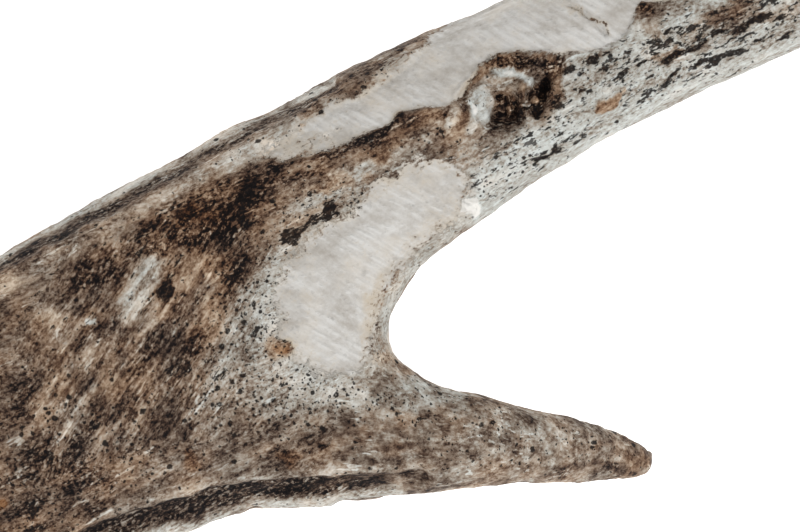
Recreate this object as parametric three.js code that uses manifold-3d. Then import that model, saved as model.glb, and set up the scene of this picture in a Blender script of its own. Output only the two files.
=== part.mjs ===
// A roe deer's shed antler, lying on its inner side on a flat surface with its outer side up.
// It grew as one piece and is split at its two forks into five: the lower beam with the burr,
// the front tine, the upper beam, the rear tine and the top tine.
// Units are millimetres and +Z is up. Limbs are first laid out in the plan frame, seen from above,
// whose origin is the bottom of the front fork. The whole antler is then turned about Z, so that
// +X runs from the burr to the tip, and moved so that the middle of its box is the origin.
import * as THREE from "three";
import { mergeVertices } from "three/addons/utils/BufferGeometryUtils.js";
import Module from "manifold-3d";

const wasm = await Module();
wasm.setup();
const { Manifold, Mesh } = wasm;

// Driving dimensions
const BEAM_LEAN = 27; // degrees from the plan's X to the line from the burr to the tip
const BOX_MIDDLE = [3.02, 5.16]; // the middle of the turned antler's box, in the turned plan
const FLAT_FACE_POWER = 2.4; // above 2, a section is flatter on its faces than an ellipse
const BEAM_SIDES = 36;
const TINE_SIDES = 20;
const TINE_SPACING = 2.4;
const BEAM_SPACINGS = [
  { up_to: 12, every: 1.1 },
  { up_to: 62, every: 1.6 },
  { up_to: 90, every: 2.8 },
  { up_to: 142, every: 2.1 },
  { up_to: Infinity, every: 3.8 },
];

// Each station of a limb: its centre in the plan and above the floor, the half width and half
// thickness of its section there, and the heading that the section is square to, in degrees.
const BEAM = [
  { at: [-91.2, -41.3, 19.5], wide: 9.8, thick: 9.6, heading: 41 },
  { at: [-89.6, -39.9, 19.5], wide: 12.0, thick: 11.8, heading: 41 },
  { at: [-86.0, -37.0, 19.4], wide: 12.4, thick: 11.9, heading: 38 },
  { at: [-74.0, -29.8, 18.3], wide: 12.3, thick: 11.0, heading: 32 },
  { at: [-55.6, -20.7, 16.4], wide: 13.0, thick: 10.0, heading: 29.5 },
  { at: [-41.8, -13.8, 14.8], wide: 13.9, thick: 9.2, heading: 29.5 },
  { at: [-28.0, -6.5, 13.4], wide: 14.5, thick: 8.6, heading: 29 },
  { at: [-18.8, -2.1, 12.6], wide: 15.3, thick: 8.2, heading: 28.5 },
  { at: [-12.2, 1.3, 12.2], wide: 15.2, thick: 7.9, heading: 28.5 },
  { at: [-7.8, 5.8, 12.0], wide: 13.5, thick: 7.6, heading: 29 },
  { at: [-5.4, 9.5, 11.9], wide: 11.0, thick: 7.3, heading: 29 },
  { at: [-1.9, 13.1, 11.8], wide: 9.6, thick: 7.1, heading: 28.5 },
  { at: [2.1, 15.8, 11.7], wide: 9.0, thick: 7.0, heading: 28 },
  { at: [7.9, 19.1, 11.4], wide: 8.4, thick: 6.9, heading: 26.5 },
  { at: [11.9, 21.2, 11.2], wide: 7.9, thick: 6.8, heading: 25.5 },
  { at: [19.2, 25.1, 10.8], wide: 7.65, thick: 6.6, heading: 25 },
  { at: [26.6, 28.2, 10.4], wide: 7.3, thick: 6.4, heading: 23.5 },
  { at: [33.9, 31.1, 10.0], wide: 6.95, thick: 6.2, heading: 22.5 },
  { at: [41.4, 34.4, 9.6], wide: 7.2, thick: 6.0, heading: 22 },
  { at: [48.6, 37.6, 9.2], wide: 7.6, thick: 5.8, heading: 20 },
  { at: [55.0, 38.9, 8.7], wide: 6.1, thick: 5.5, heading: 17 },
  { at: [62.5, 41.2, 8.0], wide: 5.3, thick: 5.0, heading: 17 },
  { at: [72.5, 44.5, 6.9], wide: 4.7, thick: 4.4, heading: 18 },
  { at: [83.5, 48.3, 5.7], wide: 3.8, thick: 3.6, heading: 20 },
  { at: [93.0, 52.0, 4.3], wide: 2.7, thick: 2.6, heading: 22 },
];
const FRONT_TINE = [
  { at: [-22.0, -8.6, 12.6], wide: 4.6, thick: 5.4, heading: 2 },
  { at: [-13.5, -9.9, 12.3], wide: 6.4, thick: 6.4, heading: 0 },
  { at: [-5.4, -9.8, 12.0], wide: 6.6, thick: 6.7, heading: -3 },
  { at: [-1.2, -9.3, 11.7], wide: 6.9, thick: 6.5, heading: -4 },
  { at: [0.9, -9.65, 11.5], wide: 6.1, thick: 6.2, heading: -5 },
  { at: [2.7, -10.2, 11.2], wide: 5.4, thick: 5.8, heading: -5 },
  { at: [4.5, -10.5, 10.9], wide: 4.85, thick: 5.4, heading: -5 },
  { at: [8.1, -10.7, 10.0], wide: 4.15, thick: 4.7, heading: -5 },
  { at: [11.7, -11.1, 8.5], wide: 3.5, thick: 4.1, heading: -6 },
  { at: [15.3, -11.4, 6.5], wide: 3.0, thick: 3.5, heading: -6 },
  { at: [18.9, -11.8, 4.1], wide: 2.4, thick: 2.8, heading: -7 },
  { at: [22.0, -12.35, 2.0], wide: 1.8, thick: 2.1, heading: -8 },
];
const REAR_TINE = [
  { at: [38.0, 32.2, 9.8], wide: 4.4, thick: 5.0, heading: 40 },
  { at: [43.0, 37.0, 9.4], wide: 5.2, thick: 5.2, heading: 52 },
  { at: [47.0, 43.2, 8.9], wide: 5.0, thick: 4.8, heading: 60 },
  { at: [50.0, 49.6, 7.4], wide: 4.0, thick: 4.0, heading: 64 },
  { at: [52.6, 56.4, 4.9], wide: 3.2, thick: 3.2, heading: 67 },
  { at: [54.6, 62.4, 2.2], wide: 2.3, thick: 2.3, heading: 70 },
];
const TIP_LENGTHS = { beam: 3.4, front: 2.6, rear: 2.8 };

// The seal, which is the face that broke off the skull, and the burr, a ring of knobs round it
const SEAL_DOME = 2.2;
const BURR = {
  full: 1.6,
  fades: 4.5,
  ends: 9.5,
  stands_out: 7.4,
  ragged: 0.35,
  knobs: 17,
  knob_height: 1.3,
};

// Pearls: small knobs on the lower beam, thickest near the burr
const PEARLS = { count: 64, first: 11, last: 62, height: 1.7, radius: 2.6, turn_radius: 12 };
const GOLDEN_ANGLE = 2.39996;

// Furrows along the beam: where each runs round the section, in degrees from the side that faces
// the plan's upper edge, between two distances from the burr, and how deep it is.
const FURROWS = [
  { side: 27, from: 20, to: 128, deep: 0.7 },
  { side: 153, from: 30, to: 92, deep: 0.6 },
  { side: 215, from: 12, to: 120, deep: 0.9 },
  { side: 262, from: 18, to: 100, deep: 0.8 },
  { side: 310, from: 12, to: 140, deep: 0.9 },
];
const FURROW_WIDTH = 9; // degrees

// Hollows in the upper face, in the plan: two gnawed patches and an old sore that never healed
const HOLLOWS = [
  { at: [1.0, 20.0], along: 13.0, across: 4.2, turn: 27, deep: 0.5 },
  { at: [19.5, 29.5], along: 10.0, across: 4.0, turn: 24, deep: 0.6 },
  { at: [-5.2, 4.6], along: 8.6, across: 4.4, turn: 62, deep: 0.6 },
  { at: [1.8, 10.6], along: 6.2, across: 3.6, turn: 45, deep: 0.5 },
  { at: [12.0, 20.3], along: 3.9, across: 3.0, turn: 30, deep: 1.5 },
];

// Where the pieces part: a slab across each limb, from the fork's bottom at a heading in degrees
const SPLIT_GAP = 0.3;
const SLAB_REACH = 45;
const SLAB_OVERSHOOT = 1;
const SLAB_HEIGHT = 90;
const FRONT_FORK = [0, 0, 0];
const REAR_FORK = [53.2, 44.8, 0];
const SPLITS = [
  { from: FRONT_FORK, heading: 118 },
  { from: FRONT_FORK, heading: -94 },
  { from: REAR_FORK, heading: -73 },
  { from: REAR_FORK, heading: 149 },
];

// Each piece with the middle of its box in the plan, and its colour and surface
const BONE = { roughness: 0.62, metalness: 0 };
const PIECES = {
  lower_beam: { place: [-55, -20], finish: { color: 0x7d6650, ...BONE } },
  upper_beam: { place: [24, 27], finish: { color: 0xb9ab95, ...BONE } },
  front_tine: { place: [8, -11], finish: { color: 0x9c8b7a, ...BONE } },
  rear_tine: { place: [49, 54], finish: { color: 0xa8977f, ...BONE } },
  top_tine: { place: [76, 45], finish: { color: 0xc4b79e, ...BONE } },
};

/** A number from 0 to 1 that only depends on n. */
function scatter(n) {
  const value = Math.sin(n * 12.9898 + 78.233) * 43758.5453;
  return value - Math.floor(value);
}

/** A unit vector in the plan, at a heading in degrees. */
function facing(heading) {
  const turn = THREE.MathUtils.degToRad(heading);
  return new THREE.Vector3(Math.cos(turn), Math.sin(turn), 0);
}

/** The turn from one angle to another, from -PI to PI. */
function turnBetween(from, to) {
  return THREE.MathUtils.euclideanModulo(to - from + Math.PI, 2 * Math.PI) - Math.PI;
}

/** A limb: curves through its stations' centres and sections, and the distance to each station. */
function limbOf(stations, tipLength) {
  const curve = (points) => new THREE.CatmullRomCurve3(points, false, "catmullrom", 0.5);
  const line = curve(stations.map((s) => new THREE.Vector3(...s.at)));
  const sections = curve(stations.map((s) => new THREE.Vector3(s.wide, s.thick, s.heading)));
  const steps = stations.length - 1;
  const reached = [0];
  for (let i = 1; i <= steps; i++) {
    reached.push(reached[i - 1] + line.points[i].distanceTo(line.points[i - 1]));
  }
  return { line, sections, reached, steps, tipLength };
}

/** Where on a limb's curves, from 0 to 1, a distance from its start is reached. */
function shareAt(limb, distance) {
  const next = limb.reached.findIndex((d) => d > distance);
  if (next < 1) return next < 0 ? 1 : 0;
  const before = limb.reached[next - 1];
  return (next - 1 + (distance - before) / (limb.reached[next] - before)) / limb.steps;
}

/** The rings of a limb from its closed start to its rounded tip. */
function ringsOf(limb, startRings, spacingAt) {
  const end = limb.reached[limb.steps];
  const rings = [...startRings];
  for (let d = 0; d < end - 0.4 * spacingAt(end); d += spacingAt(d)) {
    rings.push({ d, shrink: 1, push: 0 });
  }
  for (const angle of [0, 32, 56, 74, 90]) {
    const turn = THREE.MathUtils.degToRad(angle);
    rings.push({ d: end, shrink: Math.cos(turn), push: limb.tipLength * Math.sin(turn) });
  }
  return rings;
}

/** How deep the hollows of the upper face are at a point of the plan. */
function hollowAt(point) {
  let deep = 0;
  for (const h of HOLLOWS) {
    const away = new THREE.Vector3(point.x - h.at[0], point.y - h.at[1], 0);
    const along = away.dot(facing(h.turn)) / h.along;
    const across = away.dot(facing(h.turn + 90)) / h.across;
    const inside = 1 - THREE.MathUtils.smoothstep(Math.hypot(along, across), 0.75, 1.1);
    deep = Math.max(deep, h.deep * inside);
  }
  return deep;
}

/** A point of a ring: round is the angle from the side that faces the plan's upper edge. */
function pointOn(limb, ring, round, relief) {
  const share = shareAt(limb, ring.d);
  const section = limb.sections.getPoint(share);
  const [c, s] = [Math.cos(round), Math.sin(round)];
  const flat = (x) => Math.sign(x) * Math.abs(x) ** (2 / FLAT_FACE_POWER);
  const out = relief(ring.d, round);
  const point = limb.line.getPoint(share);
  point.addScaledVector(limb.line.getTangent(share), ring.push);
  point.addScaledVector(facing(section.z + 90), (section.x * flat(c) + out * c) * ring.shrink);
  point.z += (section.y * flat(s) + out * s) * ring.shrink;
  point.z -= hollowAt(point) * THREE.MathUtils.smoothstep(s, 0.15, 0.5);
  return point;
}

/** How far the beam's skin stands out: the burr's knobs, the pearls and the furrows. */
function beamRelief(d, round) {
  const ease = THREE.MathUtils.smoothstep;
  const inBurr = ease(d, -0.5, BURR.full) * (1 - ease(d, BURR.fades, BURR.ends));
  const knob = Math.abs(Math.cos((round * BURR.knobs) / 2 + 0.9 * Math.sin(2 * round)));
  const ragged = BURR.ragged * (Math.sin(round + 1) + Math.sin(3 * round + 2.2));
  let out = inBurr * (BURR.stands_out + ragged + BURR.knob_height * knob);
  for (let i = 0; i < PEARLS.count; i++) {
    const share = (i / PEARLS.count) ** 1.25;
    const along = THREE.MathUtils.lerp(PEARLS.first, PEARLS.last, share);
    const size = THREE.MathUtils.lerp(1, 0.5, share) * (0.65 + 0.35 * scatter(i + 100));
    const turn = turnBetween(GOLDEN_ANGLE * i + 0.5 * scatter(i), round);
    const away = Math.hypot(d - along, turn * PEARLS.turn_radius) / (PEARLS.radius * size);
    if (away < 1) out += PEARLS.height * size * (1 - away * away);
  }
  for (const f of FURROWS) {
    const turn = turnBetween(THREE.MathUtils.degToRad(f.side), round);
    const away = THREE.MathUtils.radToDeg(Math.abs(turn)) / FURROW_WIDTH;
    const runs = ease(d, f.from, f.from + 8) * (1 - ease(d, f.to - 12, f.to));
    if (away < 1) out -= f.deep * runs * (1 - away * away);
  }
  return out;
}

/** No relief, for a smooth limb. */
function smooth() {
  return 0;
}

/** A solid of a closed geometry. */
function solidOf(geometry) {
  geometry.deleteAttribute("normal");
  geometry.deleteAttribute("uv");
  const merged = mergeVertices(geometry, 1e-4);
  return new Manifold(
    new Mesh({
      numProp: 3,
      vertProperties: merged.attributes.position.array,
      triVerts: new Uint32Array(merged.index.array),
    }),
  );
}

/** A limb's solid: a sphere's points laid onto the limb's rings, from pole to pole. */
function limbSolid(limb, rings, sides, relief) {
  const sphere = new THREE.SphereGeometry(1, sides, rings.length - 1);
  const { position, uv } = sphere.attributes;
  for (let i = 0; i < position.count; i++) {
    const ring = rings[Math.round((1 - uv.getY(i)) * (rings.length - 1))];
    const column = Math.floor(uv.getX(i) * sides + 0.5) % sides;
    const point = pointOn(limb, ring, -(column / sides) * 2 * Math.PI, relief);
    position.setXYZ(i, point.x, point.y, point.z);
  }
  return solidOf(sphere);
}

/** A thin slab that parts a limb from a fork: it runs from the fork's bottom across the limb. */
function slab({ from, heading }) {
  const box = new THREE.BoxGeometry(SLAB_REACH, SPLIT_GAP, SLAB_HEIGHT);
  box.translate(SLAB_REACH / 2 - SLAB_OVERSHOOT, 0, 0);
  box.rotateZ(THREE.MathUtils.degToRad(heading));
  box.translate(...from);
  return solidOf(box);
}

/** The rings that close the beam's foot as the seal's low dome. */
function sealRings() {
  return [90, 60, 35, 14].map((angle) => {
    const turn = THREE.MathUtils.degToRad(angle);
    return { d: 0, shrink: Math.cos(turn), push: -SEAL_DOME * Math.sin(turn) };
  });
}

/** The spacing of the beam's rings at a distance from its start: closer where there is relief. */
function beamSpacing(d) {
  const found = BEAM_SPACINGS.find((s) => d < s.up_to);
  return found.every;
}

/** The component whose box's middle is nearest to a place in the plan. */
function nearest(solids, place) {
  const away = (solid) => {
    const { min, max } = solid.boundingBox();
    return Math.hypot((min[0] + max[0]) / 2 - place[0], (min[1] + max[1]) / 2 - place[1]);
  };
  return solids.reduce((best, solid) => (away(solid) < away(best) ? solid : best));
}

/** A mesh of a solid, turned and moved from the plan into the finished frame. */
function meshOf(name, solid, finish) {
  const { vertProperties, triVerts } = solid.getMesh();
  const geometry = new THREE.BufferGeometry();
  geometry.setAttribute("position", new THREE.BufferAttribute(new Float32Array(vertProperties), 3));
  geometry.setIndex(new THREE.BufferAttribute(new Uint32Array(triVerts), 1));
  geometry.rotateZ(-THREE.MathUtils.degToRad(BEAM_LEAN));
  geometry.translate(-BOX_MIDDLE[0], -BOX_MIDDLE[1], 0);
  geometry.computeVertexNormals();
  const mesh = new THREE.Mesh(geometry, new THREE.MeshStandardMaterial(finish));
  mesh.name = name;
  return mesh;
}

const beam = limbOf(BEAM, TIP_LENGTHS.beam);
const frontTine = limbOf(FRONT_TINE, TIP_LENGTHS.front);
const rearTine = limbOf(REAR_TINE, TIP_LENGTHS.rear);
const closedStart = [{ d: 0, shrink: 0, push: 0 }];

const grown = Manifold.union([
  limbSolid(beam, ringsOf(beam, sealRings(), beamSpacing), BEAM_SIDES, beamRelief),
  limbSolid(frontTine, ringsOf(frontTine, closedStart, () => TINE_SPACING), TINE_SIDES, smooth),
  limbSolid(rearTine, ringsOf(rearTine, closedStart, () => TINE_SPACING), TINE_SIDES, smooth),
]);
const onTheFloor = grown.trimByPlane([0, 0, 1], 0);
const parted = onTheFloor.subtract(Manifold.union(SPLITS.map(slab))).decompose();

const root = new THREE.Group();
root.name = "roe_antler";
for (const [name, { place, finish }] of Object.entries(PIECES)) {
  root.add(meshOf(name, nearest(parted, place), finish));
}
export default root;
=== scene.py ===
import logging
import math
from dataclasses import dataclass, field
from enum import Enum

import bmesh
import bpy
import numpy as np
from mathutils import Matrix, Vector, noise


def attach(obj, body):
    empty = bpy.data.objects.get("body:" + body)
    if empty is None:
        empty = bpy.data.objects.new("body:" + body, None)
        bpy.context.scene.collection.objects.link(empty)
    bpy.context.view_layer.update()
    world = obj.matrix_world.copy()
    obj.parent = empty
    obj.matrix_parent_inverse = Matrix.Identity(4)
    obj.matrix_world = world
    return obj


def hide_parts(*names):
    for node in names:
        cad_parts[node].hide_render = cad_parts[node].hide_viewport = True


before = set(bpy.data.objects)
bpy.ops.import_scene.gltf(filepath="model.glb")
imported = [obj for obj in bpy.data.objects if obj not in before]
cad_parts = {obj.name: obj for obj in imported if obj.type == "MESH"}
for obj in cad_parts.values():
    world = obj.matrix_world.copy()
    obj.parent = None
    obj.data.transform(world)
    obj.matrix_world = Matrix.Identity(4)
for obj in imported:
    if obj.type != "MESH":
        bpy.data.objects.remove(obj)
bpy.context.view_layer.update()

# A roe deer's shed antler, lying on its side on a pale surface and seen from straight above.
# Sizes are millimetres up to the finished mesh, which is in metres. The plan is the antler seen
# from above with the bottom of the front fork near its origin. The chart is the part of the plan
# that the camera sees, in steps of CHART_STEP from its upper left corner.

LOG = logging.getLogger("antler")
MM = 0.001
WHITE = (1.0, 1.0, 1.0, 1.0)
BEAM_LEAN = math.radians(27)
BOX_MIDDLE = np.array([3.02, 5.16])
CHART_STEP = 0.09
CHART_FORK = np.array([390.0, 323.0])
CHART_SIZE = (800, 532)
CHART_MARGIN = 12  # how far past the chart the finer faces go
CAMERA_HEIGHT = 600.0
EDGE_HEIGHT = 12.0  # the height at which a step of the chart is CHART_STEP to the camera
FLAT_FACE_POWER = 2.4
GOLDEN_ANGLE = 2.39996
FRONT_TIP = np.array([650.0, 462.0])  # on the chart
LINES_BEGIN = (-420, -100)  # the chart's x over which lines come in, left of what is seen
GRIME_ENDS = (330, 450)  # the chart's x over which the furrows' grime fades
PALING_ENDS = (340, 430)  # the chart's x over which the paler bark round a patch fades
PALING_REACH = 55.0  # how far round that patch it goes, in steps of the chart
FOOT_ENDS = (-98.5, -95.0)  # the x, in millimetres, over which the burr's lumps fade
SEAL_ENDS = (-106.5, -104.0)  # the same for the seal's pale bone
STREAK_TURN = -28  # degrees from the grain to the diagonal streaks
TINE_TURN = 33  # degrees from the grain to the front tine's own
GNAW_TURN = 62  # degrees from the grain to the fine tooth marks
RIPPLE_TURN = -32  # degrees from the grain across the teeth's ripples

BEAM = [
    # centre x, y, z, half width, half thickness, heading in degrees
    (-91.2, -41.3, 19.5, 9.8, 9.6, 41),
    (-89.6, -39.9, 19.5, 12.0, 11.8, 41),
    (-86.0, -37.0, 19.4, 12.4, 11.9, 38),
    (-74.0, -29.8, 18.3, 12.3, 11.0, 32),
    (-55.6, -20.7, 16.4, 13.0, 10.0, 29.5),
    (-41.8, -13.8, 14.8, 13.9, 9.2, 29.5),
    (-28.0, -6.5, 13.4, 14.5, 8.6, 29),
    (-18.8, -2.1, 12.6, 15.3, 8.2, 28.5),
    (-12.2, 1.3, 12.2, 15.2, 7.9, 28.5),
    (-7.8, 5.8, 12.0, 13.5, 7.6, 29),
    (-5.4, 9.5, 11.9, 11.0, 7.3, 29),
    (-1.9, 13.1, 11.8, 9.6, 7.1, 28.5),
    (2.1, 15.8, 11.7, 9.0, 7.0, 28),
    (7.9, 19.1, 11.4, 8.4, 6.9, 26.5),
    (11.9, 21.2, 11.2, 7.9, 6.8, 25.5),
    (19.2, 25.1, 10.8, 7.65, 6.6, 25),
    (26.6, 28.2, 10.4, 7.3, 6.4, 23.5),
    (33.9, 31.1, 10.0, 6.95, 6.2, 22.5),
    (41.4, 34.4, 9.6, 7.2, 6.0, 22),
    (48.6, 37.6, 9.2, 7.6, 5.8, 20),
    (55.0, 38.9, 8.7, 6.1, 5.5, 17),
    (62.5, 41.2, 8.0, 5.3, 5.0, 17),
    (72.5, 44.5, 6.9, 4.7, 4.4, 18),
    (83.5, 48.3, 5.7, 3.8, 3.6, 20),
    (93.0, 52.0, 4.3, 2.7, 2.6, 22),
]
FRONT_TINE = [
    (-22.0, -8.6, 12.6, 4.6, 5.4, 2),
    (-13.5, -9.9, 12.3, 6.4, 6.4, 0),
    (-5.4, -9.8, 12.0, 6.6, 6.7, -3),
    (-1.2, -9.3, 11.7, 6.9, 6.5, -4),
    (0.9, -9.65, 11.5, 6.1, 6.2, -5),
    (2.7, -10.2, 11.2, 5.4, 5.8, -5),
    (4.5, -10.5, 10.9, 4.85, 5.4, -5),
    (8.1, -10.7, 10.0, 4.15, 4.7, -5),
    (11.7, -11.1, 8.5, 3.5, 4.1, -6),
    (15.3, -11.5, 6.5, 3.1, 3.5, -6),
    (18.9, -12.0, 4.1, 2.6, 2.8, -7),
    (22.0, -12.6, 2.0, 1.75, 2.0, -9),
]
REAR_TINE = [
    (38.0, 32.2, 9.8, 4.4, 5.0, 40),
    (43.0, 37.0, 9.4, 5.2, 5.2, 52),
    (47.0, 43.2, 8.9, 5.0, 4.8, 60),
    (50.0, 49.6, 7.4, 4.0, 4.0, 64),
    (52.6, 56.4, 4.9, 3.2, 3.2, 67),
    (54.6, 62.4, 2.2, 2.3, 2.3, 70),
]


def srgb(red: float, green: float, blue: float) -> tuple[float, float, float, float]:
    """A colour given in the steps of a screen, from 0 to 255, as the light that it stands for."""
    return tuple((c / 255) ** 2.2 for c in (red, green, blue)) + (1.0,)


def ease(value: np.ndarray, low: float, high: float) -> np.ndarray:
    """0 below low, 1 above high and smooth between them."""
    t = np.clip((value - low) / (high - low), 0.0, 1.0)
    return t * t * (3.0 - 2.0 * t)


def facing(heading: np.ndarray) -> np.ndarray:
    """Unit vectors in the plan for headings in radians."""
    return np.stack([np.cos(heading), np.sin(heading), np.zeros_like(heading)], axis=-1)


def turned(points: np.ndarray, angle: float) -> np.ndarray:
    """Points of a plane, turned anticlockwise by an angle in radians."""
    c, s = math.cos(angle), math.sin(angle)
    return np.stack([points[:, 0] * c - points[:, 1] * s, points[:, 0] * s + points[:, 1] * c], -1)


def plan_to_row(plan: np.ndarray) -> np.ndarray:
    """Moves points of the plan, with their heights, into the finished frame."""
    flat = turned(plan[:, :2], -BEAM_LEAN) - BOX_MIDDLE
    return np.column_stack([flat, plan[:, 2]])


def row_to_chart(row: np.ndarray) -> np.ndarray:
    """Chart places, x to the right and y down, at which the camera sees points."""
    plan = turned(row[:, :2] + BOX_MIDDLE, BEAM_LEAN) / CHART_STEP
    flat = np.column_stack([CHART_FORK[0] + plan[:, 0], CHART_FORK[1] - plan[:, 1]])
    middle = np.array(CHART_SIZE) / 2
    nearer = (CAMERA_HEIGHT - EDGE_HEIGHT) / (CAMERA_HEIGHT - row[:, 2])
    return middle + (flat - middle) * nearer[:, None]


def chart_to_row(x: float, y: float) -> np.ndarray:
    """The place in the finished frame, in millimetres, of a place on the chart."""
    plan = np.array([[x - CHART_FORK[0], CHART_FORK[1] - y]]) * CHART_STEP
    return (turned(plan, -BEAM_LEAN) - BOX_MIDDLE)[0]


def through(points: np.ndarray, share: np.ndarray) -> np.ndarray:
    """A smooth curve through points.

    Args:
        points: the points, one row each.
        share: how far along the curve, from 0 to 1, each result lies.

    Returns:
        One row for each share.
    """
    padded = np.vstack([2 * points[0] - points[1], points, 2 * points[-1] - points[-2]])
    at = np.clip(share, 0.0, 1.0) * (len(points) - 1)
    i = np.minimum(at.astype(int), len(points) - 2)
    t = (at - i)[:, None]
    before, start, end, after = (padded[i + k] for k in range(4))
    leave, arrive = 0.5 * (end - before), 0.5 * (after - start)
    return (
        (2 * t**3 - 3 * t**2 + 1) * start
        + (t**3 - 2 * t**2 + t) * leave
        + (3 * t**2 - 2 * t**3) * end
        + (t**3 - t**2) * arrive
    )


def distance_to_line(points: np.ndarray, line: list[tuple[float, float]]) -> np.ndarray:
    """How far points of a plane are from an open line through some places."""
    nearest = np.full(len(points), np.inf)
    for a, b in zip(np.array(line[:-1], float), np.array(line[1:], float)):
        run = b - a
        t = np.clip((points - a) @ run / (run @ run), 0.0, 1.0)
        nearest = np.minimum(nearest, np.linalg.norm(points - a - t[:, None] * run, axis=1))
    return nearest


def depth_inside(points: np.ndarray, outline: list[tuple[float, float]]) -> np.ndarray:
    """How far points are inside a closed outline: negative outside it."""
    ring = list(outline) + [outline[0]]
    crossings = np.zeros(len(points), int)
    for (ax, ay), (bx, by) in zip(ring[:-1], ring[1:]):
        between = (ay > points[:, 1]) != (by > points[:, 1])
        cut = (bx - ax) * (points[:, 1] - ay) / ((by - ay) or 1e-9) + ax
        crossings += between & (points[:, 0] < cut)
    away = distance_to_line(points, ring)
    return np.where(crossings % 2 == 1, away, -away)


def ripple(points: np.ndarray, size: float, octaves: int = 3, seed: float = 0.0) -> np.ndarray:
    """Smooth noise about 0 at points, whose largest waves are as long as size."""
    shift = Vector((seed, seed * 1.7, seed * 0.6))
    return np.array(
        [noise.fractal(Vector(p) + shift, 1.0, 2.0, octaves) for p in points / size]
    )


class Skin(Enum):
    """The values that the skin carries at each of its points, for its material."""

    TONE = "tone"
    WARM = "warm"
    SPECK = "speck"
    DASH = "dash"
    GNAW = "gnaw"
    INK = "ink"
    STREAK = "streak"
    TINE = "tine"


@dataclass(frozen=True)
class Burr:
    """The ring of knobs round the foot of the beam."""

    full: float = 1.6
    fades: float = 4.5
    ends: float = 9.5
    stands_out: float = 7.4
    ragged: float = 0.35
    knobs: int = 17
    knob_height: float = 1.3

    def relief(self, d: np.ndarray, turn: np.ndarray) -> np.ndarray:
        """How far it stands out at distances from the foot and turns round the beam."""
        ring = ease(d, -0.5, self.full) * (1 - ease(d, self.fades, self.ends))
        knob = np.abs(np.cos(turn * self.knobs / 2 + 0.9 * np.sin(2 * turn)))
        ragged = self.ragged * (np.sin(turn + 1) + np.sin(3 * turn + 2.2))
        return ring * (self.stands_out + ragged + self.knob_height * knob)


@dataclass(frozen=True)
class Pearls:
    """Small knobs on the lower beam, thickest near the burr."""

    count: int = 64
    first: float = 11.0
    last: float = 62.0
    height: float = 1.7
    radius: float = 2.6
    turn_radius: float = 12.0

    @staticmethod
    def scatter(n: float) -> float:
        """A number from 0 to 1 that only depends on n."""
        return (math.sin(n * 12.9898 + 78.233) * 43758.5453) % 1.0

    def relief(self, d: np.ndarray, turn: np.ndarray) -> np.ndarray:
        """How far they stand out at distances from the foot and turns round the beam."""
        out = np.zeros_like(d)
        for i in range(self.count):
            share = (i / self.count) ** 1.25
            along = self.first + (self.last - self.first) * share
            size = (1 - 0.5 * share) * (0.65 + 0.35 * self.scatter(i + 100))
            at = GOLDEN_ANGLE * i + 0.5 * self.scatter(i)
            off = (turn - at + math.pi) % (2 * math.pi) - math.pi
            away = np.hypot(d - along, off * self.turn_radius) / (self.radius * size)
            out += np.where(away < 1, self.height * size * (1 - away * away), 0.0)
        return out


@dataclass(frozen=True)
class Furrow:
    """A furrow along the beam at one side of its section, in degrees from its upper edge."""

    side: float
    start: float
    end: float
    deep: float
    half_width: float = 9.0

    def relief(self, d: np.ndarray, turn: np.ndarray) -> np.ndarray:
        """How far the skin stands out, which is less than nothing in the furrow."""
        off = np.degrees((turn - math.radians(self.side) + math.pi) % (2 * math.pi) - math.pi)
        away = np.abs(off) / self.half_width
        runs = ease(d, self.start, self.start + 8) * (1 - ease(d, self.end - 12, self.end))
        return np.where(away < 1, -self.deep * runs * (1 - away * away), 0.0)


BEAM_RELIEF = (
    Burr(),
    Pearls(),
    Furrow(153, 30, 62, 0.6),
    Furrow(215, 12, 120, 0.9),
    Furrow(262, 18, 100, 0.8),
    Furrow(310, 12, 140, 0.9),
    Furrow(35, 20, 60, 0.7),
)


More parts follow.
